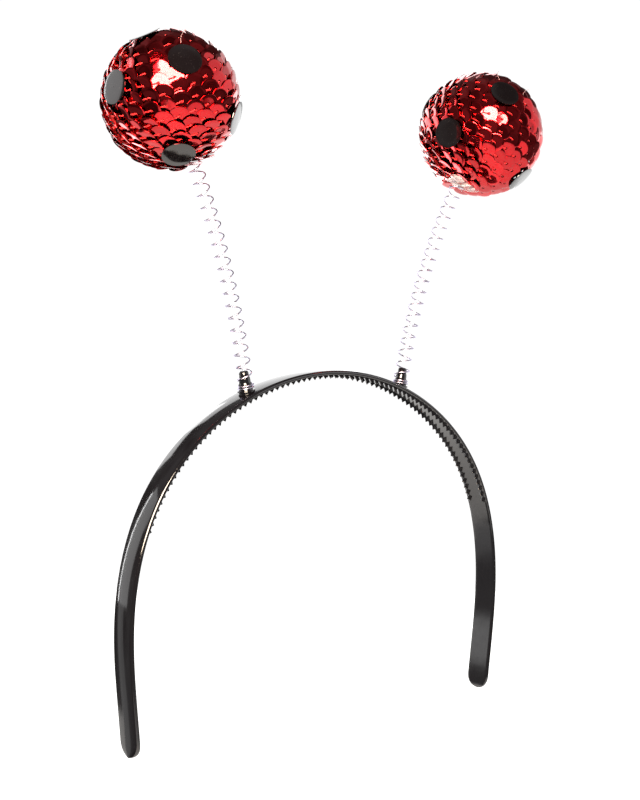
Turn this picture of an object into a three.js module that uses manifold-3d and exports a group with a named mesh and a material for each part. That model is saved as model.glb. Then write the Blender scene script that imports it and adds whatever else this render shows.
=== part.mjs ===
import * as THREE from 'three';
import Module from 'manifold-3d';

const wasm = await Module();
wasm.setup();

// Head bopper, in millimetres. X runs across the head, -Y faces forward and Z is up.
// The origin is where the tips of the comb teeth rest on the top of the head.

// Headband
const bandWidth = 9.6;
const bandThickness = 1.7;
const toothHeight = 1.0;
const toothPitch = 2.47;
const combHalfLength = 98.8;
const bandHalfLength = 170.1;
// How tightly the outer face bends at even steps from the crown to the tip of a leg,
// as the turn in radians that the whole half band would make at that bend.
const bandBend = [1.8, 1.84, 2.62, 1.62, -0.7];
const crownHeight = bandThickness + toothHeight;

// Springs
const wireRadius = 0.25;
const coilRadius = 2.55;
const openPitch = 4.1;
const turnGap = 0.25;
const tightTurns = 2;
const springReach = 69.9;
const springInBall = 6.0;
const coilClearance = 0.3;
const coilNarrowing = 0.3;
const stepsPerTurn = 8;
const wireSides = 5;
const chordShare = Math.cos(Math.PI / stepsPerTurn);
const tightPitch = 2 * wireRadius + turnGap;
const topCoilRadius = coilRadius - coilNarrowing;

// Pegs that hold the springs. Their barrels fit inside the coils.
const pegAlongBand = 36.1;
const pegLean = THREE.MathUtils.degToRad(11.5);
const pegHeight = 7.0;
const stemHeight = 0.15;
const flangeThickness = 0.45;
const barrelStep = 0.15;
const flangeRim = 0.15;
const flangeTop = stemHeight + flangeThickness;
const upperBarrelRadius = coilRadius * chordShare - wireRadius - coilClearance;
const lowerBarrelRadius = upperBarrelRadius + barrelStep;
const baseCoilRadius = (lowerBarrelRadius + coilClearance + wireRadius) / chordShare;
const flangeRadius = baseCoilRadius + wireRadius + flangeRim;

// Balls
const ballRadius = 21.7;
const sequinStep = 0.7;
const rowPitch = 3.84;
const sequinPitch = 4.87;
const socketSides = 12;
const socketClearance = 0.35;
const socketSpare = 1.75;
const socketRadius = (topCoilRadius + wireRadius + socketClearance) / Math.cos(Math.PI / socketSides);
const socketDepth = springInBall + wireRadius + socketSpare;
const mouthHeight = Math.sqrt(ballRadius ** 2 - socketRadius ** 2);
const topLean = THREE.MathUtils.degToRad(28.5);
const topForward = THREE.MathUtils.degToRad(3.5);

// Black paillettes, each placed by its turn about Z from +X and its lift above the level, in degrees.
const dotRadius = 5.2;
const dotThickness = 0.4;
const dotGap = 0.25;
const dotSides = 12;
const dotPlaces = {
  left: [[-115, 28], [-179, 5], [177, 62], [-115, -55], [-52, -15], [-4, 37], [106, 21], [108, -33]],
  right: [[-168, -3], [-111, 36], [-67, -46], [30, -58], [9, 51], [9, -24], [114, 29], [93, -31]],
};

const blackPlastic = { color: 0x0b0b0d, roughness: 0.18, metalness: 0 };
const brightSteel = { color: 0xc9ccd2, roughness: 0.25, metalness: 1 };
const redMirror = { color: 0xc3121d, roughness: 0.22, metalness: 0.9 };
const blackMirror = { color: 0x121216, roughness: 0.12, metalness: 0.7 };

// Geometry of a closed skin from its points and triangles.
function toGeometry(points, faces) {
  const geometry = new THREE.BufferGeometry();
  const flat = points.flatMap((p) => [p.x, p.y, p.z]);
  geometry.setAttribute('position', new THREE.Float32BufferAttribute(flat, 3));
  geometry.setIndex(faces.flat());
  geometry.computeVertexNormals();
  return geometry;
}

function toMesh(name, geometry, look) {
  const mesh = new THREE.Mesh(geometry, new THREE.MeshStandardMaterial(look));
  mesh.name = name;
  return mesh;
}

// Triangles between two lines of points. Each line is a list of { index, at }, in order of at.
function zip(upper, lower, faces) {
  let i = 0;
  let j = 0;
  while (i < upper.length - 1 || j < lower.length - 1) {
    const nextUpper = i < upper.length - 1 ? upper[i + 1].at + upper[i].at : Infinity;
    const nextLower = j < lower.length - 1 ? lower[j + 1].at + lower[j].at : Infinity;
    if (nextUpper <= nextLower) {
      faces.push([upper[i].index, lower[j].index, upper[i + 1].index]);
      i += 1;
    } else {
      faces.push([upper[i].index, lower[j].index, lower[j + 1].index]);
      j += 1;
    }
  }
}

// A closed skin over a stack of rings, from the point first to the point last.
// A ring is a list of { point, at } with at counting one full turn from 0 to 1.
function skinOverRings(first, rings, last) {
  const points = [first];
  const faces = [];
  const lines = rings.map((ring) => {
    const line = ring.map(({ point, at }) => {
      points.push(point);
      return { index: points.length - 1, at };
    });
    line.push({ index: line[0].index, at: line[0].at + 1 });
    return line;
  });
  points.push(last);
  const top = lines[0];
  for (let k = 0; k < top.length - 1; k += 1) {
    faces.push([0, top[k].index, top[k + 1].index]);
  }
  for (let r = 0; r < lines.length - 1; r += 1) {
    zip(lines[r], lines[r + 1], faces);
  }
  const end = lines[lines.length - 1];
  for (let k = 0; k < end.length - 1; k += 1) {
    faces.push([end[k].index, points.length - 1, end[k + 1].index]);
  }
  return { points, faces };
}

// An even ring about the axis of a frame, at a height along it.
function roundRing(frame, radius, height, count, turn = 0) {
  return Array.from({ length: count }, (_, k) => {
    const at = (k + turn) / count;
    return { point: frame.place(radius, at, height), at };
  });
}

// A frame with its origin, its axis and a way to place a point by radius, part of a turn and height.
function axisFrame(origin, direction) {
  const axis = direction.clone().normalize();
  const side = new THREE.Vector3(0, 1, 0).cross(axis).normalize();
  const front = axis.clone().cross(side);
  const place = (radius, at, height) => origin.clone()
    .addScaledVector(side, radius * Math.cos(2 * Math.PI * at))
    .addScaledVector(front, radius * Math.sin(2 * Math.PI * at))
    .addScaledVector(axis, height);
  return { origin, axis, side, front, place };
}

// The outer face's line from the crown to a tip, walked in small steps.
function walkBand() {
  const steps = 1000;
  const step = bandHalfLength / steps;
  const walk = [{ x: 0, z: crownHeight, lean: 0 }];
  for (let k = 0; k < steps; k += 1) {
    const where = ((k + 0.5) / steps) * (bandBend.length - 1);
    const knot = Math.min(Math.floor(where), bandBend.length - 2);
    const bend = THREE.MathUtils.lerp(bandBend[knot], bandBend[knot + 1], where - knot) / bandHalfLength;
    const last = walk[k];
    const middle = last.lean + (bend * step) / 2;
    walk.push({
      x: last.x + step * Math.cos(middle),
      z: last.z - step * Math.sin(middle),
      lean: last.lean + bend * step,
    });
  }
  return walk;
}

const bandWalk = walkBand();

// A point on or under the band's outer face: distance along it (negative on the left), across it
// and below it.
function bandPoint(along, across, below) {
  const where = (Math.min(Math.abs(along), bandHalfLength) / bandHalfLength) * (bandWalk.length - 1);
  const k = Math.min(Math.floor(where), bandWalk.length - 2);
  const part = where - k;
  const lean = THREE.MathUtils.lerp(bandWalk[k].lean, bandWalk[k + 1].lean, part);
  const x = THREE.MathUtils.lerp(bandWalk[k].x, bandWalk[k + 1].x, part) - below * Math.sin(lean);
  const z = THREE.MathUtils.lerp(bandWalk[k].z, bandWalk[k + 1].z, part) - below * Math.cos(lean);
  return new THREE.Vector3(along < 0 ? -x : x, across, z);
}

// Half of the band's width, full along the legs and rounded at their tips.
function halfWidthAt(along) {
  const half = bandWidth / 2;
  const intoTip = Math.abs(along) - (bandHalfLength - half);
  const share = THREE.MathUtils.clamp(intoTip / half, 0, 0.98);
  return half * Math.sqrt(1 - share * share);
}

// Stations along one half of the band, mirrored to the other half.
function mirrored(stations) {
  const forward = stations.filter((along) => along > 0);
  const centre = stations.includes(0) ? [0] : [];
  return [...forward.map((along) => -along).reverse(), ...centre, ...forward];
}

function bandStations() {
  const half = bandWidth / 2;
  const tip = [0, 0.4, 0.7, 0.9, 1].map((part) => bandHalfLength - half + half * part);
  const teethPerSide = Math.round(combHalfLength / toothPitch);
  const toothStep = combHalfLength / teethPerSide;
  const coarse = Array.from({ length: 26 }, (_, k) => (k * (bandHalfLength - half)) / 26);
  const legStep = (tip[0] - combHalfLength) / 9;
  const legSteps = Array.from({ length: 8 }, (_, k) => combHalfLength + (k + 1) * legStep);
  const valleys = Array.from({ length: teethPerSide + 1 }, (_, k) => k * toothStep);
  const tips = Array.from({ length: teethPerSide }, (_, k) => (k + 0.5) * toothStep);
  return {
    plain: mirrored([...coarse, ...tip]),
    valleys: mirrored([...valleys, ...legSteps, ...tip]),
    tips: mirrored(tips),
  };
}

// The band's section, as shares of half its width and of its thickness: over the convex outer face
// from the front edge to the back edge, then along the inner face, where a rail of comb teeth
// stands just inside each edge.
const outerSection = [
  { across: -1.0, below: 0.58 },
  { across: -0.9, below: 0.25 },
  { across: -0.6, below: 0.07 },
  { across: 0, below: 0 },
  { across: 0.6, below: 0.07 },
  { across: 0.9, below: 0.25 },
  { across: 1.0, below: 0.58 },
];
const innerSection = [
  { across: 0.95, below: 1 },
  { across: 0.78, below: 1, toothed: true },
  { across: 0.65, below: 1, toothed: true },
  { across: 0.56, below: 1 },
  { across: -0.56, below: 1 },
  { across: -0.65, below: 1, toothed: true },
  { across: -0.78, below: 1, toothed: true },
  { across: -0.95, below: 1 },
];

function makeBand() {
  const stations = bandStations();
  const points = [];
  const faces = [];
  const add = (point) => {
    points.push(point);
    return points.length - 1;
  };
  const toothed = [...stations.valleys, ...stations.tips].sort((a, b) => a - b);
  const tips = new Set(stations.tips);
  const loop = [...outerSection, ...innerSection].map((corner) => {
    const alongs = corner.toothed ? toothed : stations.plain;
    return alongs.map((along) => {
      const tooth = corner.toothed && tips.has(along) ? toothHeight : 0;
      const below = corner.below * bandThickness + tooth;
      return { at: along, index: add(bandPoint(along, corner.across * halfWidthAt(along), below)) };
    });
  });
  for (let k = 0; k < loop.length; k += 1) {
    zip(loop[(k + 1) % loop.length], loop[k], faces);
  }
  const start = loop.map((each) => each[0].index);
  const end = loop.map((each) => each[each.length - 1].index);
  for (let k = 1; k < loop.length - 1; k += 1) {
    faces.push([start[0], start[k], start[k + 1]]);
    faces.push([end[0], end[k + 1], end[k]]);
  }
  return { points, faces };
}

// The line of each peg and the spring over it. side is -1 on the left and 1 on the right.
function pegFrame(side) {
  const foot = bandPoint(side * pegAlongBand, 0, 0);
  return axisFrame(foot, new THREE.Vector3(side * Math.sin(pegLean), 0, Math.cos(pegLean)));
}

// A stepped peg from its rounded tip down over two barrels, the flange and the stem into the band.
const barrelHeight = pegHeight - flangeTop;
const pegProfile = [
  { height: pegHeight, radius: 0.5 * upperBarrelRadius },
  { height: pegHeight - 0.06 * barrelHeight, radius: 0.78 * upperBarrelRadius },
  { height: pegHeight - 0.31 * barrelHeight, radius: 0.88 * upperBarrelRadius },
  { height: pegHeight - 0.35 * barrelHeight, radius: upperBarrelRadius },
  { height: flangeTop + 0.4 * barrelHeight, radius: upperBarrelRadius },
  { height: flangeTop + 0.36 * barrelHeight, radius: lowerBarrelRadius },
  { height: flangeTop, radius: lowerBarrelRadius },
  { height: flangeTop - 0.05 * flangeThickness, radius: 0.96 * flangeRadius },
  { height: stemHeight + 0.3 * flangeThickness, radius: flangeRadius },
  { height: stemHeight, radius: lowerBarrelRadius + barrelStep / 2 },
  { height: -bandThickness / 2, radius: lowerBarrelRadius + barrelStep / 2 },
];

function makePeg(side) {
  const frame = pegFrame(side);
  const rings = pegProfile.map(({ radius, height }) => roundRing(frame, radius, height, 12));
  return skinOverRings(frame.place(0, 0, pegHeight), rings, frame.place(0, 0, -bandThickness / 2));
}

function toSolid({ points, faces }) {
  const mesh = new wasm.Mesh({
    numProp: 3,
    vertProperties: new Float32Array(points.flatMap((p) => [p.x, p.y, p.z])),
    triVerts: new Uint32Array(faces.flat()),
  });
  return new wasm.Manifold(mesh);
}

function fromSolid(solid) {
  const mesh = solid.getMesh();
  const points = [];
  for (let k = 0; k < mesh.vertProperties.length; k += mesh.numProp) {
    points.push(new THREE.Vector3(...mesh.vertProperties.slice(k, k + 3)));
  }
  const faces = [];
  for (let k = 0; k < mesh.triVerts.length; k += 3) {
    faces.push([...mesh.triVerts.slice(k, k + 3)]);
  }
  return toGeometry(points, faces);
}

function headband() {
  const solid = toSolid(makeBand()).add(toSolid(makePeg(-1))).add(toSolid(makePeg(1)));
  return toMesh('headband', fromSolid(solid), blackPlastic);
}

// The direction of a spring where it enters its ball.
function topDirection(side) {
  return new THREE.Vector3(side * Math.sin(topLean), -Math.sin(topForward), Math.cos(topLean)).normalize();
}

// The middle line of a spring: straight on the peg, bent outwards above it, straight inside the ball.
function springLine(side) {
  const peg = pegFrame(side);
  const top = topDirection(side);
  const start = peg.place(0, 0, pegHeight);
  const corner = start.clone().addScaledVector(peg.axis, springReach / 2);
  const entry = corner.clone().addScaledVector(top, springReach / 2);
  const bow = new THREE.QuadraticBezierCurve3(start, corner, entry);
  const bowLength = bow.getLength();
  const pointAt = (distance) => {
    if (distance < pegHeight) {
      return peg.place(0, 0, distance);
    }
    const beyond = distance - pegHeight - bowLength;
    if (beyond > 0) {
      return entry.clone().addScaledVector(top, beyond);
    }
    return bow.getPointAt((distance - pegHeight) / bowLength);
  };
  return { pointAt, entry, entryDistance: pegHeight + bowLength, top };
}

// How far a coil climbs: tight turns, open turns and tight turns again.
function coilStations(from, to) {
  const tight = tightTurns * tightPitch;
  const openTurns = Math.round((to - from - 2 * tight) / openPitch);
  const turns = openTurns + 2 * tightTurns;
  const count = Math.round(turns * stepsPerTurn);
  const openRise = to - from - 2 * tight;
  return Array.from({ length: count + 1 }, (_, k) => {
    const turn = k / stepsPerTurn;
    const open = THREE.MathUtils.clamp(turn - tightTurns, 0, openTurns);
    const tightPart = turn - open;
    return { turn, distance: from + tightPart * tightPitch + (open / openTurns) * openRise };
  });
}

function makeSpring(side) {
  const line = springLine(side);
  const from = flangeTop + coilClearance + wireRadius;
  const openFrom = from + tightTurns * tightPitch;
  const to = line.entryDistance + springInBall;
  const centres = coilStations(from, to).map(({ turn, distance }) => {
    const middle = line.pointAt(distance);
    const ahead = line.pointAt(distance + 0.5).sub(line.pointAt(distance - 0.5));
    const frame = axisFrame(middle, ahead);
    const aboveBase = THREE.MathUtils.smoothstep(distance, openFrom, openFrom + openPitch);
    const nearBall = THREE.MathUtils.smoothstep(distance, line.entryDistance - openPitch, line.entryDistance);
    const lowRadius = THREE.MathUtils.lerp(baseCoilRadius, coilRadius, aboveBase);
    const radius = THREE.MathUtils.lerp(lowRadius, topCoilRadius, nearBall);
    const point = frame.place(radius, turn, 0);
    return { point, outward: point.clone().sub(middle).normalize() };
  });
  const rings = centres.map(({ point, outward }, k) => {
    const before = centres[Math.max(k - 1, 0)].point;
    const after = centres[Math.min(k + 1, centres.length - 1)].point;
    const along = after.clone().sub(before).normalize();
    const across = along.clone().cross(outward).normalize();
    const out = across.clone().cross(along);
    return Array.from({ length: wireSides }, (_, n) => {
      const angle = (-2 * Math.PI * n) / wireSides;
      const rim = point.clone()
        .addScaledVector(out, wireRadius * Math.cos(angle))
        .addScaledVector(across, wireRadius * Math.sin(angle));
      return { point: rim, at: n / wireSides };
    });
  });
  const skin = skinOverRings(centres[0].point, rings, centres[centres.length - 1].point);
  return toGeometry(skin.points, skin.faces);
}

function ballFrame(side) {
  const line = springLine(side);
  return axisFrame(line.entry.clone().addScaledVector(line.top, mouthHeight), line.top);
}

// A ball wound with rows of sequins. Each row's top edges stand out as scallops over the row above.
function makeBall(side) {
  const frame = ballFrame(side);
  const onBall = (radius, polar, at) => frame.place(radius * Math.sin(polar), at, radius * Math.cos(polar));
  const lastPolar = Math.PI - Math.asin(socketRadius / ballRadius);
  const rowCount = Math.round((lastPolar * ballRadius) / rowPitch);
  const rowStep = lastPolar / rowCount;
  const sequinsRound = (2 * Math.PI * ballRadius) / sequinPitch;
  const rings = [];
  for (let row = 0; row < rowCount; row += 1) {
    const polar = (row + 0.35) * rowStep;
    const count = Math.max(5, Math.round(sequinsRound * Math.sin(polar)));
    const shift = row % 2 ? 0.5 : 0;
    if (row > 0) {
      rings.push(Array.from({ length: count }, (_, k) => {
        const at = (k + shift) / count;
        return { point: onBall(ballRadius - sequinStep, polar - rowStep * 0.24, at), at };
      }));
    }
    rings.push(Array.from({ length: 2 * count }, (_, k) => {
      const at = (k / 2 + shift) / count;
      const atPeak = k % 2 === 0;
      const height = atPeak ? ballRadius : ballRadius - sequinStep * 0.3;
      return { point: onBall(height, polar + rowStep * (atPeak ? -0.16 : 0.16), at), at };
    }));
  }
  rings.push(roundRing(frame, socketRadius, -mouthHeight, socketSides));
  rings.push(roundRing(frame, socketRadius, socketDepth - mouthHeight, socketSides));
  const pole = frame.place(0, 0, ballRadius - sequinStep * 0.15);
  const skin = skinOverRings(pole, rings, frame.place(0, 0, socketDepth - mouthHeight));
  return toGeometry(skin.points, skin.faces);
}

function makeDot(side, turn, lift) {
  const { origin } = ballFrame(side);
  const radians = THREE.MathUtils.degToRad;
  const outward = new THREE.Vector3(
    Math.cos(radians(lift)) * Math.cos(radians(turn)),
    Math.cos(radians(lift)) * Math.sin(radians(turn)),
    Math.sin(radians(lift)),
  );
  const frame = axisFrame(origin.clone().addScaledVector(outward, ballRadius + dotGap), outward);
  const rings = [dotThickness, 0].map((height) => roundRing(frame, dotRadius, height, dotSides));
  const skin = skinOverRings(frame.place(0, 0, dotThickness), rings, frame.place(0, 0, 0));
  return toGeometry(skin.points, skin.faces);
}

const bopper = new THREE.Group();
bopper.name = 'head_bopper';
bopper.add(headband());
for (const [word, side] of [['left', -1], ['right', 1]]) {
  bopper.add(toMesh(`${word}_spring`, makeSpring(side), brightSteel));
  bopper.add(toMesh(`${word}_sequin_ball`, makeBall(side), redMirror));
  dotPlaces[word].forEach(([turn, lift], k) => {
    bopper.add(toMesh(`${word}_dot_${k + 1}`, makeDot(side, turn, lift), blackMirror));
  });
}

export default bopper;
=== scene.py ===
import math
import random

import bmesh
import bpy
from mathutils import Matrix, Vector


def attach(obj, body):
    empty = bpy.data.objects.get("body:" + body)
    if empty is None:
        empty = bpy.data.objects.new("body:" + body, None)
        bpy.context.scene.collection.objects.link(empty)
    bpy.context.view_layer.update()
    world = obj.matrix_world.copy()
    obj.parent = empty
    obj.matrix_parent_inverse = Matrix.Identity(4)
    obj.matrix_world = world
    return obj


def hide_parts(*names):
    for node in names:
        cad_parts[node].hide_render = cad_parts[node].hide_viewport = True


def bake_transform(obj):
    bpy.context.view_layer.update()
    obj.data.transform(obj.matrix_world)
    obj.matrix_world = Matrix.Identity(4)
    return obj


# The part's own sizes, in metres
MM = 0.001
BAND_WIDTH = 9.6 * MM
BAND_THICKNESS = 1.7 * MM
CROWN_HEIGHT = 2.7 * MM
TOOTH_HEIGHT = 1.35 * MM
TEETH_PER_SIDE = 40
COMB_HALF_LENGTH = 98.8 * MM
BAND_HALF_LENGTH = 170.1 * MM
# How tightly the outer face bends at even steps from the crown to the tip of a leg,
# as the turn in radians that the whole half band would make at that bend
BAND_BEND = (1.8, 1.84, 2.62, 1.62, -0.7)

WIRE_RADIUS = 0.25 * MM
COIL_RADIUS = 2.55 * MM
BASE_COIL_RADIUS = 2.66 * MM
TOP_COIL_RADIUS = 2.25 * MM
OPEN_PITCH = 4.1 * MM
TIGHT_PITCH = 0.8 * MM
TIGHT_TURNS = 2
SPRING_REACH = 69.9 * MM
SPRING_IN_BALL = 6.0 * MM
SPRING_START = 0.9 * MM
WIRE_STEPS_PER_TURN = 26
WIRE_SIDES = 8
BOW_STEPS = 400

PEG_ALONG_BAND = 36.1 * MM
PEG_LEAN = math.radians(11.5)
PEG_HEIGHT = 7.0 * MM
FLANGE_TOP = 0.6 * MM
STEM_HEIGHT = 0.15 * MM
UPPER_BARREL_RADIUS = 1.95 * MM
LOWER_BARREL_RADIUS = 2.3 * MM
FLANGE_RADIUS = 2.95 * MM
PEG_SIDES = 32

TOP_LEAN = math.radians(28.5)
TOP_FORWARD = math.radians(3.5)
BALL_TO_ENTRY = 21.5 * MM
SOCKET_RADIUS = 2.95 * MM
SOCKET_DEPTH = 8.0 * MM
LOOSE_RADIUS = 0.09 * MM
# The thread is drawn thicker than the real one so that it shows
THREAD_RADIUS = 0.24 * MM

CORE_RADIUS = 19.7 * MM
SEQUIN_RADIUS = 3.2 * MM
SEQUIN_THICKNESS = 0.1 * MM
SEQUIN_CURL = 0.08 * MM
SEQUIN_HOLE_RADIUS = 0.5 * MM
# The left ball came out a little smaller than the right one
SEQUIN_SEATS = {"left": 20.5 * MM, "right": 21.3 * MM}
ROW_PITCH = 3.84 * MM
SEQUIN_PITCH = 4.87 * MM

DOT_RADIUS = 5.2 * MM
DOT_LIFT = 1.15 * MM
DOT_THICKNESS = 0.18 * MM
DOT_CURL = 0.05 * MM
DOT_DISH = -0.12 * MM
# Turn about Z from +X and lift above the level of each black paillette, in degrees
DOT_PLACES = {
    "left": [(-115, 28), (-179, 5), (177, 62), (-115, -55), (-52, -15), (-4, 37), (106, 21), (108, -33)],
    "right": [(-168, -3), (-111, 36), (-67, -46), (30, -58), (9, 51), (9, -24), (114, 29), (93, -31)],
}
SIDES = {"left": -1, "right": 1}


# Small helpers

def linear(hex_colour):
    """An sRGB hex colour as linear red, green, blue and alpha."""
    parts = [int(hex_colour[i:i + 2], 16) / 255 for i in (1, 3, 5)]
    return tuple(p / 12.92 if p <= 0.04045 else ((p + 0.055) / 1.055) ** 2.4 for p in parts) + (1.0,)


def add_node(tree, kind, settings=None, **sockets):
    """Adds a node, sets its properties, and fills or links its inputs by name."""
    node = tree.nodes.new(kind)
    for key, value in (settings or {}).items():
        setattr(node, key, value)
    for key, value in sockets.items():
        numbered = key[0] == "i" and key[1:].isdigit()
        socket = node.inputs[int(key[1:]) if numbered else key.replace("_", " ")]
        if isinstance(value, bpy.types.NodeSocket):
            tree.links.new(value, socket)
        else:
            socket.default_value = value
    return node


def new_material(name):
    """An empty node material with its output, ready for a shader."""
    material = bpy.data.materials.new(name)
    material.use_nodes = True
    tree = material.node_tree
    tree.nodes.clear()
    output = tree.nodes.new("ShaderNodeOutputMaterial")
    return material, tree, output


def mesh_piece(name, points, faces, material, slot):
    """A named, smoothly shaded mesh object with one material."""
    mesh = bpy.data.meshes.new(name)
    mesh.from_pydata([tuple(p) for p in points], [], faces)
    mesh.validate()
    mesh.update()
    mesh.polygons.foreach_set("use_smooth", [True] * len(mesh.polygons))
    piece = bpy.data.objects.new(name, mesh)
    bpy.context.scene.collection.objects.link(piece)
    mesh.materials.append(material)
    return piece


def smooth_by_angle(piece, degrees):
    """Shades a piece smooth except over edges sharper than this."""
    limit = math.radians(degrees)
    work = bmesh.new()
    work.from_mesh(piece.data)
    for edge in work.edges:
        edge.smooth = len(edge.link_faces) == 2 and edge.calc_face_angle(0) < limit
    work.to_mesh(piece.data)
    work.free()


class Frame:
    """A place with an axis, and points around it by radius, part of a turn and height."""

    def __init__(self, origin, direction):
        self.origin = Vector(origin)
        self.axis = Vector(direction).normalized()
        self.side = Vector((0, 1, 0)).cross(self.axis).normalized()
        self.front = self.axis.cross(self.side)

    def place(self, radius, turn, height):
        angle = 2 * math.pi * turn
        return (self.origin + self.side * (radius * math.cos(angle))
                + self.front * (radius * math.sin(angle)) + self.axis * height)


def rings_skin(rings):
    """Points and faces of a skin over rings with equally many points, capped at both ends."""
    count = len(rings[0])
    points = [p for ring in rings for p in ring]
    faces = []
    for r in range(len(rings) - 1):
        for k in range(count):
            n = (k + 1) % count
            faces.append((r * count + k, (r + 1) * count + k, (r + 1) * count + n, r * count + n))
    faces.append(tuple(range(count)))
    last = (len(rings) - 1) * count
    faces.append(tuple(last + k for k in reversed(range(count))))
    return points, faces


# Camera at the photo's viewpoint

CAMERA_PLACE = Vector((-401.8, -434.0, 27.4)) * MM
CAMERA_RIGHT = Vector((0.7367, -0.6760, 0.0191))
CAMERA_UP = Vector((0.0261, 0.0567, 0.9981))
CAMERA_LENS = 78.81


def make_camera():
    right = CAMERA_RIGHT.normalized()
    back = right.cross(CAMERA_UP).normalized()
    up = back.cross(right)
    data = bpy.data.cameras.new("camera")
    data.lens = CAMERA_LENS
    data.sensor_width = 36
    data.clip_start = 0.01
    data.clip_end = 100
    camera = bpy.data.objects.new("camera", data)
    bpy.context.scene.collection.objects.link(camera)
    turn = Matrix((right, up, back)).transposed().to_4x4()
    camera.matrix_world = Matrix.Translation(CAMERA_PLACE) @ turn
    bpy.context.scene.camera = camera


# Materials

def moulded_black_polystyrene():
    """Injection moulded black polystyrene: a deep gloss with a faint ripple and fine handling scratches."""
    material, tree, output = new_material("moulded_black_polystyrene")
    place = add_node(tree, "ShaderNodeTexCoord").outputs["Object"]
    ripple = add_node(tree, "ShaderNodeTexNoise", Vector=place, Scale=90.0, Detail=2.0, Roughness=0.4)
    haze = add_node(tree, "ShaderNodeTexNoise", Vector=place, Scale=420.0, Detail=5.0, Roughness=0.6)
    # Scratches about 0.05 mm wide are drawn 0.15 mm wide so that they show
    stretched = add_node(tree, "ShaderNodeMapping", Vector=place, Scale=(1.0, 6.0, 0.35))
    scratch = add_node(tree, "ShaderNodeTexNoise", Vector=stretched.outputs[0], Scale=1500.0, Detail=1.0)
    scratch_line = add_node(tree, "ShaderNodeMapRange", Value=scratch.outputs["Fac"])
    scratch_line.inputs["From Min"].default_value = 0.66
    scratch_line.inputs["From Max"].default_value = 0.74
    roughness = add_node(tree, "ShaderNodeMapRange", Value=haze.outputs["Fac"])
    roughness.inputs["To Min"].default_value = 0.05
    roughness.inputs["To Max"].default_value = 0.12
    rubbed = add_node(tree, "ShaderNodeMath", {"operation": "MULTIPLY_ADD"})
    tree.links.new(scratch_line.outputs[0], rubbed.inputs[0])
    rubbed.inputs[1].default_value = 0.12
    tree.links.new(roughness.outputs[0], rubbed.inputs[2])
    bump = add_node(tree, "ShaderNodeBump", Height=ripple.outputs["Fac"], Strength=0.04, Distance=0.0006)
    shader = add_node(tree, "ShaderNodeBsdfPrincipled", Base_Color=linear("#0B0A0D"), IOR=1.59,
                      Roughness=rubbed.outputs[0], Normal=bump.outputs[0])
    tree.links.new(shader.outputs[0], output.inputs[0])
    return material


def bright_drawn_wire():
    """Bright drawn spring steel wire: silvery, with fine draw marks that spread its highlights."""
    material, tree, output = new_material("bright_drawn_steel_wire")
    place = add_node(tree, "ShaderNodeTexCoord").outputs["Object"]
    marks = add_node(tree, "ShaderNodeTexNoise", Vector=place, Scale=2600.0, Detail=3.0)
    roughness = add_node(tree, "ShaderNodeMapRange", Value=marks.outputs["Fac"])
    roughness.inputs["To Min"].default_value = 0.24
    roughness.inputs["To Max"].default_value = 0.4
    shader = add_node(tree, "ShaderNodeBsdfPrincipled", Base_Color=linear("#C2BCD0"), Metallic=1.0,
                      Roughness=roughness.outputs[0])
    tree.links.new(shader.outputs[0], output.inputs[0])
    return material


def red_metallised_film():
    """Die-cut polyester film, aluminised and lacquered red: a mirror that turns all it reflects red,
    each sequin a little dished and creased by its punching."""
    material, tree, output = new_material("red_metallised_film")
    place = add_node(tree, "ShaderNodeTexCoord").outputs["Object"]
    each = add_node(tree, "ShaderNodeNewGeometry").outputs["Random Per Island"]
    colour = add_node(tree, "ShaderNodeValToRGB", Fac=each)
    colour.color_ramp.elements[0].color = linear("#A2040E")
    colour.color_ramp.elements[1].color = linear("#C20D17")
    crease = add_node(tree, "ShaderNodeTexNoise", Vector=place, Scale=520.0, Detail=2.0, Roughness=0.45)
    grain = add_node(tree, "ShaderNodeTexNoise", Vector=place, Scale=3500.0, Detail=2.0)
    bump = add_node(tree, "ShaderNodeBump", Height=crease.outputs["Fac"], Strength=0.04, Distance=0.0004)
    roughness = add_node(tree, "ShaderNodeMapRange", Value=grain.outputs["Fac"])
    roughness.inputs["To Min"].default_value = 0.07
    roughness.inputs["To Max"].default_value = 0.13
    shader = add_node(tree, "ShaderNodeBsdfPrincipled", Base_Color=colour.outputs[0], Metallic=1.0,
                      Roughness=roughness.outputs[0], Normal=bump.outputs[0])
    shader.inputs["Coat Weight"].default_value = 0.5
    shader.inputs["Coat Roughness"].default_value = 0.04
    tree.links.new(shader.outputs[0], output.inputs[0])
    return material


def red_polyester_thread():
    """Twisted red polyester sewing thread: matt, with a slight sheen along its ply."""
    material, tree, output = new_material("red_polyester_thread")
    place = add_node(tree, "ShaderNodeTexCoord").outputs["Object"]
    ply = add_node(tree, "ShaderNodeTexWave", {"wave_type": "BANDS"}, Vector=place, Scale=900.0,
                   Distortion=2.0)
    colour = add_node(tree, "ShaderNodeValToRGB", Fac=ply.outputs["Fac"])
    colour.color_ramp.elements[0].color = linear("#A0070C")
    colour.color_ramp.elements[1].color = linear("#D2161A")
    shader = add_node(tree, "ShaderNodeBsdfPrincipled", Base_Color=colour.outputs[0], Roughness=0.7)
    shader.inputs["Specular IOR Level"].default_value = 0.2
    shader.inputs["Sheen Weight"].default_value = 0.1
    tree.links.new(shader.outputs[0], output.inputs[0])
    return material


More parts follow.
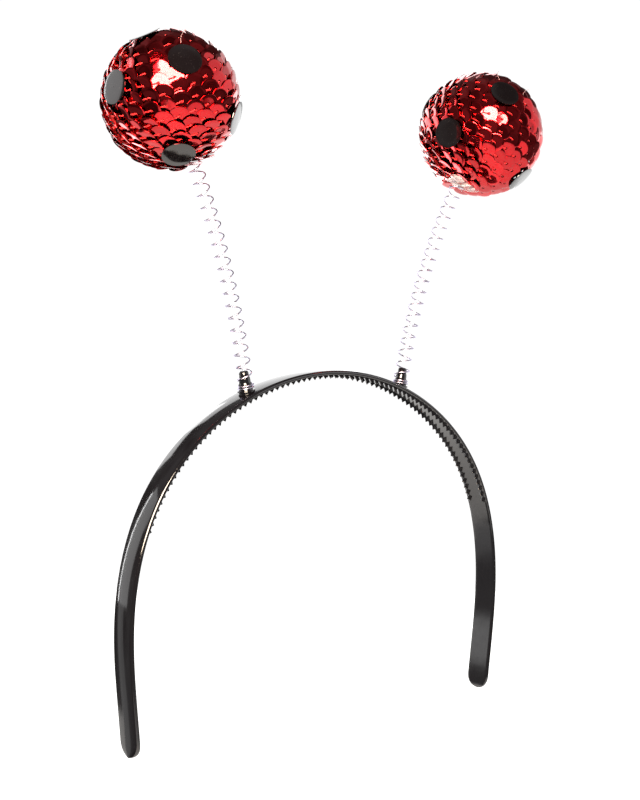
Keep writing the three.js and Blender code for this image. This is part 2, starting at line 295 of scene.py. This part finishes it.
def red_foam():
    """Closed cell foam tinted red, glimpsed between the sequins: matt and finely pitted."""
    material, tree, output = new_material("dyed_red_foam")
    place = add_node(tree, "ShaderNodeTexCoord").outputs["Object"]
    cells = add_node(tree, "ShaderNodeTexVoronoi", Vector=place, Scale=900.0)
    # The colour darkens towards the bottom of each pit, in step with the bump: painted shade in the pits
    colour = add_node(tree, "ShaderNodeValToRGB", Fac=cells.outputs["Distance"])
    colour.color_ramp.elements[0].color = linear("#A5080F")
    colour.color_ramp.elements[1].color = linear("#D0161E")
    bump = add_node(tree, "ShaderNodeBump", Height=cells.outputs["Distance"], Strength=0.5, Distance=0.0003)
    shader = add_node(tree, "ShaderNodeBsdfPrincipled", Base_Color=colour.outputs[0], Roughness=0.85,
                      Normal=bump.outputs[0])
    tree.links.new(shader.outputs[0], output.inputs[0])
    return material


def milky_glue():
    """Hot melt glue drawn out thin: translucent and milky, with a streaky, uneven gloss."""
    material, tree, output = new_material("milky_hot_melt_glue")
    place = add_node(tree, "ShaderNodeTexCoord").outputs["Object"]
    streak_place = add_node(tree, "ShaderNodeMapping", Vector=place, Scale=(1.0, 0.35, 2.2))
    streaks = add_node(tree, "ShaderNodeTexNoise", Vector=streak_place.outputs[0], Scale=420.0, Detail=3.0)
    colour = add_node(tree, "ShaderNodeValToRGB", Fac=streaks.outputs["Fac"])
    colour.color_ramp.elements[0].position = 0.35
    colour.color_ramp.elements[0].color = linear("#8E8082")
    colour.color_ramp.elements[1].position = 0.65
    colour.color_ramp.elements[1].color = linear("#C9C2C3")
    bump = add_node(tree, "ShaderNodeBump", Height=streaks.outputs["Fac"], Strength=0.5, Distance=0.0005)
    roughness = add_node(tree, "ShaderNodeMapRange", Value=streaks.outputs["Fac"])
    roughness.inputs["To Min"].default_value = 0.12
    roughness.inputs["To Max"].default_value = 0.34
    shader = add_node(tree, "ShaderNodeBsdfPrincipled", Base_Color=colour.outputs[0], IOR=1.48,
                      Roughness=roughness.outputs[0], Normal=bump.outputs[0])
    clear = add_node(tree, "ShaderNodeBsdfTransparent")
    cover = add_node(tree, "ShaderNodeMapRange", Value=streaks.outputs["Fac"])
    cover.inputs["From Min"].default_value = 0.36
    cover.inputs["From Max"].default_value = 0.62
    cover.inputs["To Min"].default_value = 0.12
    cover.inputs["To Max"].default_value = 0.72
    both = add_node(tree, "ShaderNodeMixShader", i0=cover.outputs[0], i1=clear.outputs[0],
                    i2=shader.outputs[0])
    tree.links.new(both.outputs[0], output.inputs[0])
    return material


def pale_loose_thread():
    """A loose end of clear nylon thread that catches the light, pale, with a pink cast that is a painted
    reflection of the red sequins.
    """
    material, tree, output = new_material("clear_nylon_thread")
    place = add_node(tree, "ShaderNodeTexCoord").outputs["Object"]
    wear = add_node(tree, "ShaderNodeTexNoise", Vector=place, Scale=700.0, Detail=2.0)
    # Both ends of the ramp are tinted pink: a painted reflection of the red sequins around the thread
    colour = add_node(tree, "ShaderNodeValToRGB", Fac=wear.outputs["Fac"])
    colour.color_ramp.elements[0].color = linear("#7C4A4C")
    colour.color_ramp.elements[1].color = linear("#B09393")
    shader = add_node(tree, "ShaderNodeBsdfPrincipled", Base_Color=colour.outputs[0], Roughness=0.3)
    shader.inputs["Coat Weight"].default_value = 0.3
    tree.links.new(shader.outputs[0], output.inputs[0])
    return material


def black_lacquered_film():
    """Die-cut polyester film with a thick black lacquer: a deep mirror gloss, black where it faces the dark
    and pale grey where it is seen edge on."""
    material, tree, output = new_material("black_lacquered_film")
    place = add_node(tree, "ShaderNodeTexCoord").outputs["Object"]
    wave = add_node(tree, "ShaderNodeTexNoise", Vector=place, Scale=140.0, Detail=1.0)
    bump = add_node(tree, "ShaderNodeBump", Height=wave.outputs["Fac"], Strength=0.05, Distance=0.0006)
    smear = add_node(tree, "ShaderNodeTexNoise", Vector=place, Scale=900.0, Detail=4.0)
    roughness = add_node(tree, "ShaderNodeMapRange", Value=smear.outputs["Fac"])
    roughness.inputs["To Min"].default_value = 0.04
    roughness.inputs["To Max"].default_value = 0.14
    dust = add_node(tree, "ShaderNodeTexNoise", Vector=place, Scale=2200.0, Detail=2.0)
    colour = add_node(tree, "ShaderNodeValToRGB", Fac=dust.outputs["Fac"])
    colour.color_ramp.elements[0].position = 0.66
    colour.color_ramp.elements[0].color = linear("#080506")
    colour.color_ramp.elements[1].position = 0.85
    colour.color_ramp.elements[1].color = linear("#2C2829")
    shader = add_node(tree, "ShaderNodeBsdfPrincipled", Base_Color=colour.outputs[0], IOR=1.6,
                      Roughness=roughness.outputs[0], Normal=bump.outputs[0])
    tree.links.new(shader.outputs[0], output.inputs[0])
    return material


# Headband

def walk_band():
    """The outer face's line from the crown to a tip: across, up and lean at small steps."""
    steps = 1000
    step = BAND_HALF_LENGTH / steps
    x, z, lean = 0.0, CROWN_HEIGHT, 0.0
    walk = [(x, z, lean)]
    for k in range(steps):
        where = (k + 0.5) / steps * (len(BAND_BEND) - 1)
        knot = min(int(where), len(BAND_BEND) - 2)
        here, ahead = BAND_BEND[knot], BAND_BEND[knot + 1]
        bend = (here + (ahead - here) * (where - knot)) / BAND_HALF_LENGTH
        middle = lean + bend * step / 2
        x += step * math.cos(middle)
        z -= step * math.sin(middle)
        lean += bend * step
        walk.append((x, z, lean))
    return walk


BAND_WALK = walk_band()


def band_point(along, across, below):
    """A point by its distance along the band (negative on the left), across it and below its outer face."""
    where = min(abs(along), BAND_HALF_LENGTH) / BAND_HALF_LENGTH * (len(BAND_WALK) - 1)
    k = min(int(where), len(BAND_WALK) - 2)
    part = where - k
    x, z, lean = (a + (b - a) * part for a, b in zip(BAND_WALK[k], BAND_WALK[k + 1]))
    x -= below * math.sin(lean)
    z -= below * math.cos(lean)
    return Vector((math.copysign(1, along) * x, across, z))


def band_outer_section():
    """The convex outer face with rolled edges: share of the half width, share of the thickness below."""
    section = []
    for angle in range(0, 91, 15):
        turn = math.radians(angle)
        section.append((-1.0 + 0.2 * (1 - math.cos(turn)), 0.66 - 0.5 * math.sin(turn)))
    for across in (-0.68, -0.5, -0.25, 0.0):
        section.append((across, 0.16 * (across / 0.8) ** 2))
    return section + [(-a, b) for a, b in reversed(section[:-1])]


def band_half_width(along):
    into_tip = abs(along) - (BAND_HALF_LENGTH - BAND_WIDTH / 2)
    share = min(max(into_tip / (BAND_WIDTH / 2), 0), 0.995)
    return BAND_WIDTH / 2 * math.sqrt(1 - share * share)


def band_depth_share(along):
    """The legs' tips thin out over their last two millimetres."""
    into_tip = abs(along) - (BAND_HALF_LENGTH - 2 * MM)
    share = min(max(into_tip / (2 * MM), 0), 1)
    return 1 - 0.45 * share * share


# Where the rings of the round tip of a leg lie, as angles in degrees
TIP_ANGLES = (12, 24, 36, 48, 58, 67, 75, 81, 86)
LEG_RINGS = 34


def make_band(material):
    tooth_step = COMB_HALF_LENGTH / TEETH_PER_SIDE
    half = [k * tooth_step / 4 for k in range(TEETH_PER_SIDE * 4 + 1)]
    tip_start = BAND_HALF_LENGTH - BAND_WIDTH / 2
    half += [COMB_HALF_LENGTH + (tip_start - COMB_HALF_LENGTH) * k / LEG_RINGS
             for k in range(1, LEG_RINGS + 1)]
    half += [tip_start + BAND_WIDTH / 2 * math.sin(math.radians(a)) for a in TIP_ANGLES]
    stations = [-s for s in reversed(half[1:])] + half
    rings = []
    for along in stations:
        width = band_half_width(along)
        thin = band_depth_share(along)
        ring = [band_point(along, a * width, b * BAND_THICKNESS * thin) for a, b in band_outer_section()]
        tooth_part = abs(along) / tooth_step % 1
        in_comb = abs(along) < COMB_HALF_LENGTH - 0.01 * MM
        rise = TOOTH_HEIGHT * (1 - abs(2 * tooth_part - 1)) if in_comb else 0
        base = BAND_THICKNESS * thin
        rail = [(0.985, 0.85 * base), (0.95, 0.98 * base), (0.8, base), (0.78, base + 0.9 * rise),
                (0.76, base + rise), (0.67, base + rise), (0.65, base + 0.9 * rise), (0.63, base)]
        inner = rail + [(0.0, base)] + [(-across, below) for across, below in reversed(rail)]
        ring += [band_point(along, across * width, below) for across, below in inner]
        rings.append(ring)
    points, faces = rings_skin(rings)
    band = mesh_piece("moulded_band", points, faces, material, "black_plastic")
    smooth_by_angle(band, 38)
    return band


def peg_frame(side):
    foot = band_point(side * PEG_ALONG_BAND, 0, 0)
    return Frame(foot, (side * math.sin(PEG_LEAN), 0, math.cos(PEG_LEAN)))


def make_peg(word, side, material):
    """A stepped peg with rounded shoulders, turned about its own axis."""
    frame = peg_frame(side)
    barrel = PEG_HEIGHT - FLANGE_TOP
    up, low, flange = UPPER_BARREL_RADIUS, LOWER_BARREL_RADIUS, FLANGE_RADIUS
    stem = low + 0.2 * MM
    profile = [
        (-BAND_THICKNESS / 2, stem), (STEM_HEIGHT, stem), (STEM_HEIGHT, flange - 0.08 * MM),
        (STEM_HEIGHT + 0.06 * MM, flange), (FLANGE_TOP - 0.1 * MM, flange), (FLANGE_TOP, flange - 0.1 * MM),
        (FLANGE_TOP, low + 0.05 * MM), (FLANGE_TOP + 0.08 * MM, low),
        (FLANGE_TOP + 0.3 * barrel, 0.98 * low), (FLANGE_TOP + 0.35 * barrel, 0.96 * low - 0.05 * MM),
        (FLANGE_TOP + 0.38 * barrel, up + 0.03 * MM), (FLANGE_TOP + 0.41 * barrel, up),
        (FLANGE_TOP + 0.6 * barrel, 0.97 * up), (FLANGE_TOP + 0.64 * barrel, 0.93 * up),
        (FLANGE_TOP + 0.67 * barrel, 0.86 * up), (FLANGE_TOP + 0.7 * barrel, 0.84 * up),
        (FLANGE_TOP + 0.9 * barrel, 0.8 * up), (FLANGE_TOP + 0.95 * barrel, 0.72 * up),
        (FLANGE_TOP + 0.985 * barrel, 0.55 * up), (PEG_HEIGHT, 0.28 * up),
    ]
    rings = [[frame.place(radius, -k / PEG_SIDES, height) for k in range(PEG_SIDES)]
             for height, radius in profile]
    points, faces = rings_skin(rings)
    peg = mesh_piece(f"{word}_peg", points, faces, material, "black_plastic")
    smooth_by_angle(peg, 50)
    return peg


# Springs

def top_direction(side):
    return Vector((side * math.sin(TOP_LEAN), -math.sin(TOP_FORWARD), math.cos(TOP_LEAN))).normalized()


class SpringLine:
    """The middle line of a spring: straight on its peg, one even bow above it, straight in the ball."""

    def __init__(self, side):
        self.peg = peg_frame(side)
        self.top = top_direction(side)
        start = self.peg.place(0, 0, PEG_HEIGHT)
        corner = start + self.peg.axis * (SPRING_REACH / 2)
        self.entry = corner + self.top * (SPRING_REACH / 2)
        self.bow = []
        travelled = PEG_HEIGHT
        last = start
        for k in range(BOW_STEPS + 1):
            t = k / BOW_STEPS
            point = start * (1 - t) ** 2 + corner * (2 * t * (1 - t)) + self.entry * t ** 2
            travelled += (point - last).length
            self.bow.append((travelled, point))
            last = point
        self.entry_distance = travelled

    def point(self, distance):
        if distance <= PEG_HEIGHT:
            return self.peg.place(0, 0, distance)
        if distance >= self.entry_distance:
            return self.entry + self.top * (distance - self.entry_distance)
        share = (distance - PEG_HEIGHT) / (self.entry_distance - PEG_HEIGHT)
        k = min(max(int(share * BOW_STEPS), 1), BOW_STEPS)
        while k < BOW_STEPS and self.bow[k][0] < distance:
            k += 1
        while k > 1 and self.bow[k - 1][0] > distance:
            k -= 1
        (low, a), (high, b) = self.bow[k - 1], self.bow[k]
        return a + (b - a) * ((distance - low) / (high - low))


def ease(value, low, high):
    t = min(max((value - low) / (high - low), 0), 1)
    return t * t * (3 - 2 * t)


def coil_centres(line, steps_per_turn):
    """The wire's centre points along the whole coil, with the direction away from the coil's middle."""
    start = SPRING_START
    end = line.entry_distance + SPRING_IN_BALL
    tight = TIGHT_TURNS * TIGHT_PITCH
    open_turns = round((end - start - 2 * tight) / OPEN_PITCH)
    turns = open_turns + 2 * TIGHT_TURNS
    open_rise = end - start - 2 * tight
    centres = []
    for k in range(turns * steps_per_turn + 1):
        turn = k / steps_per_turn
        opened = min(max(turn - TIGHT_TURNS, 0), open_turns)
        distance = start + (turn - opened) * TIGHT_PITCH + opened / open_turns * open_rise
        ahead = line.point(distance + 0.5 * MM) - line.point(distance - 0.5 * MM)
        frame = Frame(line.point(distance), ahead)
        above_base = ease(distance, start + tight, start + tight + OPEN_PITCH)
        near_ball = ease(distance, line.entry_distance - OPEN_PITCH, line.entry_distance)
        radius = BASE_COIL_RADIUS + (COIL_RADIUS - BASE_COIL_RADIUS) * above_base
        radius += (TOP_COIL_RADIUS - COIL_RADIUS) * near_ball
        point = frame.place(radius, turn, 0)
        centres.append((point, (point - frame.origin).normalized()))
    return centres


def wire_rings(centres, sides):
    rings = []
    for k, (point, outward) in enumerate(centres):
        before = centres[max(k - 1, 0)][0]
        after = centres[min(k + 1, len(centres) - 1)][0]
        along = (after - before).normalized()
        across = along.cross(outward).normalized()
        out = across.cross(along)
        rings.append([point + out * (WIRE_RADIUS * math.cos(2 * math.pi * n / sides))
                      - across * (WIRE_RADIUS * math.sin(2 * math.pi * n / sides)) for n in range(sides)])
    return rings


def make_spring(word, side, material):
    """One wire coil in two halves that share their middle."""
    line = SpringLine(side)
    rings = wire_rings(coil_centres(line, WIRE_STEPS_PER_TURN), WIRE_SIDES)
    middle = len(rings) // 2
    mid_point = line.point((PEG_HEIGHT + line.entry_distance) / 2)
    lower = mesh_piece(f"{word}_spring_lower", *rings_skin(rings[:middle + 1]), material, "spring_wire")
    upper = mesh_piece(f"{word}_spring_upper", *rings_skin(rings[middle:]), material, "spring_wire")
    for half in (lower, upper):
        smooth_by_angle(half, 60)
    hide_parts(f"{word}_spring")
    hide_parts(f"{word}_spring")
    line.point(PEG_HEIGHT)
    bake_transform(lower)
    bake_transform(upper)


# Balls

def ball_frame(side):
    line = SpringLine(side)
    return Frame(line.entry + line.top * BALL_TO_ENTRY, line.top)


def on_ball(frame, radius, polar, turn):
    return frame.place(radius * math.sin(polar), turn, radius * math.cos(polar))


def make_foam(word, frame, material):
    """The foam ball under the sequins, with the socket that the spring goes into."""
    last = math.pi - math.asin(SOCKET_RADIUS / CORE_RADIUS)
    around, rows = 64, 36
    rings = [[on_ball(frame, CORE_RADIUS, last * k / rows, n / around) for n in range(around)]
             for k in range(rows, 0, -1)]
    mouth = -math.sqrt(CORE_RADIUS ** 2 - SOCKET_RADIUS ** 2)
    socket = [[frame.place(SOCKET_RADIUS, n / around, mouth + SOCKET_DEPTH * part) for n in range(around)]
              for part in (1.0, 0.5)]
    points, faces = rings_skin(list(reversed(rings)) + list(reversed(socket)))
    foam = mesh_piece(f"{word}_foam_ball", points, faces, material, "red_sequins")
    smooth_by_angle(foam, 50)
    return foam


def dot_direction(place):
    turn, lift = (math.radians(a) for a in place)
    return Vector((math.cos(lift) * math.cos(turn), math.cos(lift) * math.sin(turn), math.sin(lift)))


def sequin_rows(frame, radius, dots, chance):
    """The seat, outward, upward and rightward directions of each sequin, row by row down the ball,
    and whether it lies flat under a black paillette."""
    last = math.pi - math.asin((SOCKET_RADIUS + 1.0 * MM) / radius)
    count = round(last * radius / ROW_PITCH)
    covered = math.cos(DOT_RADIUS / radius)
    step = last / count
    seats = []
    for row in range(count):
        polar = (row + 0.62) * step
        around = max(4, round(2 * math.pi * radius * math.sin(polar) / SEQUIN_PITCH))
        shift = (row % 2) * 0.5 + chance.uniform(-0.12, 0.12)
        for k in range(around):
            turn = (k + shift + chance.uniform(-0.05, 0.05)) / around
            tilted = polar + chance.uniform(-0.012, 0.012)
            seat = on_ball(frame, radius, tilted, turn)
            outward = (seat - frame.origin).normalized()
            right = frame.axis.cross(outward).normalized()
            up = outward.cross(right)
            pressed = any(outward.dot(way) > covered for way in dots)
            seats.append((seat, outward, up, right, pressed))
    return seats


def disc_points(centre, normal, first, radius, hole, thickness, dish, curl, segments):
    """Rings of a thin dished disc with a hole and a curled rim: from the rim in, front then back."""
    second = normal.cross(first)
    rims = []
    for face in (0.5, -0.5):
        for rim, drop in ((radius, curl), (radius * 0.93, 0), (radius * 0.6, 0), (hole, 0)):
            lift = dish * (rim / radius) ** 2 + face * thickness - drop
            angles = [2 * math.pi * k / segments for k in range(segments)]
            rims.append([centre + first * (rim * math.cos(angle)) + second * (rim * math.sin(angle))
                         + normal * lift for angle in angles])
    return rims


def disc_faces(start, segments):
    """Faces between the eight rims of disc_points."""
    order = [0, 1, 2, 3, 7, 6, 5, 4]
    faces = []
    for i in range(8):
        a = start + order[i] * segments
        b = start + order[(i + 1) % 8] * segments
        for k in range(segments):
            n = (k + 1) % segments
            faces.append((a + k, a + n, b + n, b + k))
    return faces


SEQUIN_UP_TILT = math.radians(13)
SEQUIN_SIDE_TILT = math.radians(10)
# How much the tilt varies from one sequin to the next, in degrees, and how much of the tilt and dish
# is left under a black paillette
TILT_SPREAD = 3.2
PRESSED_SHARE = 0.45


def make_sequins(word, seats, material, chance):
    """Flat sequins in overlapping rows. The top edge rides over the row above,
    and the right edge over the sequin to the right."""
    segments = 20
    points, faces, normals = [], [], []
    for seat, outward, up, right, pressed in seats:
        share = PRESSED_SHARE if pressed else 1
        lean_down = math.tan(share * (SEQUIN_UP_TILT + math.radians(chance.gauss(0, TILT_SPREAD))))
        lean_left = math.tan(share * (SEQUIN_SIDE_TILT + math.radians(chance.gauss(0, TILT_SPREAD))))
        normal = (outward - up * lean_down - right * lean_left).normalized()
        first = (right - normal * right.dot(normal)).normalized()
        dish = share * chance.uniform(-0.03, 0.06) * MM
        rims = disc_points(seat, normal, first, SEQUIN_RADIUS, SEQUIN_HOLE_RADIUS, SEQUIN_THICKNESS, dish,
                           SEQUIN_CURL, segments)
        start = len(points)
        for rim in rims:
            points.extend(rim)
        faces.extend(disc_faces(start, segments))
        normals.append(normal)
    sequins = mesh_piece(f"{word}_sequins", points, faces, material, "red_sequins")
    smooth_by_angle(sequins, 40)
    return sequins, normals


def make_thread(word, seats, normals, material, chance):
    """The red thread that runs out of each sequin's hole and over its left edge."""
    points, faces = [], []
    sides = 5
    lift, sunk = 0.3 * MM, 0.05 * MM
    for (seat, _, up, right, pressed), normal in zip(seats, normals):
        if pressed:
            continue
        left = (-right + normal * right.dot(normal)).normalized()
        drop = up * chance.uniform(-0.25, 0.1)
        way = (left + drop).normalized()
        length = SEQUIN_RADIUS * chance.uniform(0.6, 0.78)
        rings = []
        for part in (0.0, 0.12, 0.4, 0.75, 1.0):
            hump = lift * math.sin(math.pi * min(part * 1.15, 1)) - sunk
            centre = seat + way * (length * part) + normal * hump
            across = normal.cross(way)
            rings.append([centre + across * (THREAD_RADIUS * math.cos(2 * math.pi * n / sides))
                          + normal * (THREAD_RADIUS * 0.8 * math.sin(2 * math.pi * n / sides))
                          for n in range(sides)])
        new_points, new_faces = rings_skin(rings)
        start = len(points)
        points.extend(new_points)
        faces.extend(tuple(start + index for index in face) for face in new_faces)
    return mesh_piece(f"{word}_thread", points, faces, material, "red_sequins")


def make_paillette(word, number, frame, outward, seat, material):
    """A black film disc that lies on the sequins, dished a little towards the ball."""
    first = Vector((0, 0, 1)).cross(outward).normalized()
    segments = 56
    centre = frame.origin + outward * (seat + DOT_LIFT)
    pinhole = DOT_RADIUS * 0.02
    rims = disc_points(centre, outward, first, DOT_RADIUS, pinhole, DOT_THICKNESS, DOT_DISH, DOT_CURL,
                       segments)
    points = [p for rim in rims for p in rim]
    faces = disc_faces(0, segments)
    disc = mesh_piece(f"{word}_paillette_{number}", points, faces, material, "black_paillettes")
    smooth_by_angle(disc, 40)
    return disc


# Where glue was smeared over the sequins beside the right spring, and where thread ends came loose,
# as turns about Z from +X and lifts above the level, in degrees
GLUE_PLACE = (-172, -59)
GLUE_SIZE = (math.radians(15), math.radians(8.5))
LOOSE_ENDS = {
    "left": [((-116, 47), (-102, 63))],
    "right": [((-106, 58), (-89, 71)), ((-83, 36), (-62, 42))],
}


def make_glue(word, frame, seat, material, chance):
    """A thin ragged smear of glue that lies over the sequins next to the spring."""
    middle = dot_direction(GLUE_PLACE)
    along = frame.axis.cross(middle).normalized()
    across = middle.cross(along)
    around, steps = 48, 9
    ragged = [1 + 0.16 * math.sin(3 * a + 0.6) + 0.1 * math.sin(7 * a) + chance.uniform(-0.07, 0.07)
              for a in (2 * math.pi * k / around for k in range(around))]

    def place(part, k, lift):
        turn = 2 * math.pi * k / around
        swing = part * ragged[k]
        way = (middle + along * (math.tan(GLUE_SIZE[0]) * swing * math.cos(turn))
               + across * (math.tan(GLUE_SIZE[1]) * swing * math.sin(turn))).normalized()
        return frame.origin + way * (seat + lift)

    top, under = 1.0 * MM, 0.75 * MM
    rings = []
    for step in range(1, steps + 1):
        part = step / steps
        wave = 0.12 * MM * math.sin(9 * part)
        sag = 0.25 * MM * part ** 3
        rings.append([place(part, k, top + wave + 0.1 * MM * math.sin(5 * k / around * math.pi + 4 * part)
                            - sag) for k in range(around)])
    rings.append([place(1.0, k, under - 0.3 * MM) for k in range(around)])
    rings.append([place(1 / steps, k, under) for k in range(around)])
    points, faces = rings_skin(rings)
    glue = mesh_piece(f"{word}_glue_smear", points, faces, material, "red_sequins")
    smooth_by_angle(glue, 60)
    return glue


def make_loose_ends(word, frame, seat, material):
    """Fine ends of thread that stand off the sequins."""
    points, faces = [], []
    steps, sides = 12, 6
    root, rise = 0.6 * MM, 1.5 * MM
    for start, end in LOOSE_ENDS[word]:
        first, last = dot_direction(start), dot_direction(end)
        line = []
        for k in range(steps + 1):
            part = k / steps
            way = (first * (1 - part) + last * part).normalized()
            bend = way.cross(last - first) * (0.25 * math.sin(math.pi * part))
            lift = root + rise * part
            line.append(frame.origin + (way + bend * 0.4).normalized() * (seat + lift))
        rings = []
        for k, centre in enumerate(line):
            ahead = (line[min(k + 1, steps)] - line[max(k - 1, 0)]).normalized()
            side_way = ahead.cross(centre - frame.origin).normalized()
            up_way = side_way.cross(ahead)
            rings.append([centre + side_way * (LOOSE_RADIUS * math.cos(2 * math.pi * n / sides))
                          + up_way * (LOOSE_RADIUS * math.sin(2 * math.pi * n / sides))
                          for n in range(sides)])
        new_points, new_faces = rings_skin(rings)
        begin = len(points)
        points.extend(new_points)
        faces.extend(tuple(begin + index for index in face) for face in new_faces)
    return mesh_piece(f"{word}_loose_ends", points, faces, material, "red_sequins")


def make_ball(word, side, film, thread, foam, black_film, glue, loose):
    frame = ball_frame(side)
    body = f"{word}_ball"
    chance = random.Random(11 if side < 0 else 23)
    core = make_foam(word, frame, foam)
    radius = SEQUIN_SEATS[word]
    dots = [dot_direction(place) for place in DOT_PLACES[word]]
    seats = sequin_rows(frame, radius, dots, chance)
    sequins, normals = make_sequins(word, seats, film, chance)
    stitches = make_thread(word, seats, normals, thread, chance)
    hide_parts(f"{word}_sequin_ball")
    ends = make_loose_ends(word, frame, radius, loose)
    pieces = [core, sequins, stitches, ends]
    if word == "right":
        pieces.append(make_glue(word, frame, radius, glue, chance))
    for piece in pieces:
        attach(piece, body)
    for number, outward in enumerate(dots, 1):
        disc = make_paillette(word, number, frame, outward, radius, black_film)
        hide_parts(f"{word}_dot_{number}")
        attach(disc, body)


# Studio

FLOOR_LEVEL = -0.3
# The way the camera looks, seen from above
VIEW_TURN = 47


def make_floor():
    """A long sheet of pale paper on a light table under the part, laid along the way the camera looks.
    A corner is cut out of it beside the left leg, whose tip would mirror it."""
    turn = Matrix.Rotation(math.radians(VIEW_TURN), 3, "Z")
    front, back, half = -0.55, 4.0, 0.56
    cut_back, cut_side = 0.1, 0.28
    outline = [(front, -half), (back, -half), (back, half)]
    outline += [(cut_back, half), (cut_back, cut_side), (front, cut_side)]
    corners = [turn @ Vector((x, y, 0)) for x, y in outline]
    mesh = bpy.data.meshes.new("floor")
    mesh.from_pydata([(c.x, c.y, FLOOR_LEVEL) for c in corners], [], [tuple(range(len(corners)))])
    floor = bpy.data.objects.new("floor", mesh)
    bpy.context.scene.collection.objects.link(floor)
    material, tree, output = new_material("pale_studio_paper")
    shader = add_node(tree, "ShaderNodeBsdfPrincipled", Base_Color=linear("#A6A6A5"), Roughness=0.8)
    shader.inputs["Emission Color"].default_value = linear("#FFFFFF")
    shader.inputs["Emission Strength"].default_value = 1.02
    tree.links.new(shader.outputs[0], output.inputs[0])
    mesh.materials.append(material)


def light_panel(name, place, facing, width, height, brightness, tint="#FFFFFF"):
    """A rectangular panel of light at a place, facing one way."""
    data = bpy.data.lights.new(name, "AREA")
    data.shape = "RECTANGLE"
    data.size = width
    data.size_y = height
    data.energy = brightness * math.pi * width * height
    data.color = linear(tint)[:3]
    light = bpy.data.objects.new(name, data)
    light.visible_camera = False
    bpy.context.scene.collection.objects.link(light)
    light.location = place
    light.rotation_euler = Vector(facing).to_track_quat("-Z", "Y").to_euler()


def softbox(name, turns, lifts, brightness, distance=1.3, tint="#FFFFFF", seen_from=0.05):
    """A soft box that fills these turns about Z from +X and these lifts above the level, in degrees,
    as seen from this height on the Z axis."""
    turn, lift = (math.radians(sum(pair) / 2) for pair in (turns, lifts))
    way = Vector((math.cos(lift) * math.cos(turn), math.cos(lift) * math.sin(turn), math.sin(lift)))
    width = 2 * distance * math.tan(math.radians((turns[1] - turns[0]) / 2))
    height = 2 * distance * math.tan(math.radians((lifts[1] - lifts[0]) / 2))
    light_panel(name, Vector((0, 0, seen_from)) + way * distance, -way, width, height, brightness, tint)


def make_studio():
    """Soft boxes round the part in a dark room, with a white backdrop."""
    world = bpy.data.worlds.new("studio")
    bpy.context.scene.world = world
    world.use_nodes = True
    tree = world.node_tree
    tree.nodes.clear()
    seen = add_node(tree, "ShaderNodeLightPath").outputs["Is Camera Ray"]
    shown = add_node(tree, "ShaderNodeMix", {"data_type": "RGBA"}, Factor=seen)
    patches = add_node(tree, "ShaderNodeTexNoise", Scale=3.4, Detail=2.0)
    walls = add_node(tree, "ShaderNodeValToRGB", Fac=patches.outputs["Fac"])
    walls.color_ramp.elements[0].position = 0.4
    walls.color_ramp.elements[0].color = (0.06, 0.06, 0.06, 1)
    walls.color_ramp.elements[1].position = 0.64
    walls.color_ramp.elements[1].color = (0.24, 0.24, 0.24, 1)
    tree.links.new(walls.outputs[0], shown.inputs[6])
    shown.inputs[7].default_value = (1.05, 1.05, 1.05, 1)
    background = add_node(tree, "ShaderNodeBackground", Color=shown.outputs[2], Strength=1.0)
    output = tree.nodes.new("ShaderNodeOutputWorld")
    tree.links.new(background.outputs[0], output.inputs[0])
    softbox("key_softbox", (-157, -121), (1, 31), 52, distance=0.45, tint="#FFEBD2")
    softbox("left_softbox", (122, 139), (-9, 30), 1.6)
    softbox("left_strip", (119.3, 120.8), (-9, 26), 13)
    softbox("left_low", (122, 133), (-33, -9), 0.5)
    # Seen by the balls but not by the legs
    softbox("ball_fill", (73, 107), (-7, 16), 2.8, distance=0.3, seen_from=0.086)
    light_panel("floor_fill", (0.01, 0.55, FLOOR_LEVEL + 0.01), (0, 0, 1), 0.34, 0.4, 5.5)
    softbox("right_softbox", (-60, -16), (-6, 36), 1.3)
    softbox("backdrop_right_low", (-12, 42), (-30, 3), 2.1)
    softbox("backdrop_right_high", (-12, 42), (3, 25), 0.9)
    softbox("backdrop_left", (42, 80), (-28, 38), 2.2)


# Assembly

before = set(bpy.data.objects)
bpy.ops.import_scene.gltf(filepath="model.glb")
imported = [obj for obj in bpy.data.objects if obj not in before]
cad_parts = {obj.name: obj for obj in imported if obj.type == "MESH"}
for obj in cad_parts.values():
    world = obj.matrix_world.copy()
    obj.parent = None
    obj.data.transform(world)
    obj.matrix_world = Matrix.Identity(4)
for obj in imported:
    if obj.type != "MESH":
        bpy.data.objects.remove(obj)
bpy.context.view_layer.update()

make_camera()
plastic = moulded_black_polystyrene()
wire = bright_drawn_wire()
film = red_metallised_film()
thread = red_polyester_thread()
foam = red_foam()
black_film = black_lacquered_film()
glue = milky_glue()
loose = pale_loose_thread()

band = make_band(plastic)
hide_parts("headband")
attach(band, "headband")
for word, side in SIDES.items():
    peg = make_peg(word, side, plastic)
    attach(peg, "headband")
    make_spring(word, side, wire)
    make_ball(word, side, film, thread, foam, black_film, glue, loose)
make_floor()
make_studio()
bpy.context.scene.view_settings.view_transform = "Standard"
